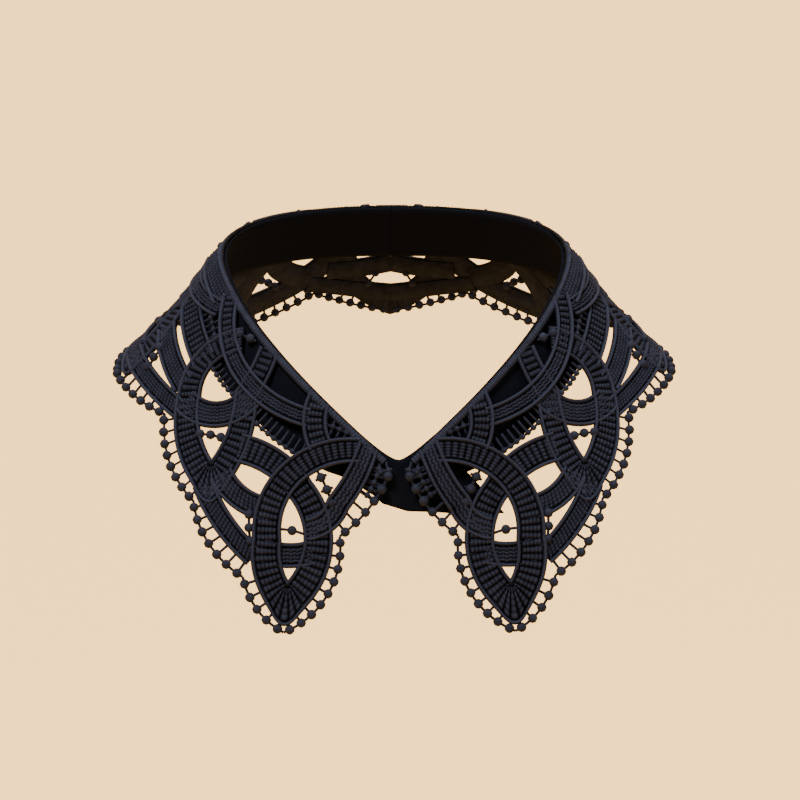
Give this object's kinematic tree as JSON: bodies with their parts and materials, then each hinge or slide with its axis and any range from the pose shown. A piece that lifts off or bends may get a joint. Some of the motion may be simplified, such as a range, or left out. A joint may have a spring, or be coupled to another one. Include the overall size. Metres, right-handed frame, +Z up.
{
  "type": "detachable lace collar",
  "caption": "Worn detachable collar of interlaced tape lace with two pointed fronts and a bobble edge, on a plain woven neckband.",
  "frame": {"origin": "on the neck's axis, level with the sides of the neckline, where the wearer's neck holds the collar", "axes": "+Z up, -Y towards the front points, +X towards the wearer's left"},
  "size_m": [0.2292, 0.1661, 0.152],
  "materials": {
    "lace": "matte black ribbed embroidery thread",
    "neckband": "matte black plain weave"
  },
  "bodies": {
    "root": {"lace_right": "lace", "lace_left": "lace", "neckband_right": "neckband", "neckband_left": "neckband"}
  },
  "joints": []
}
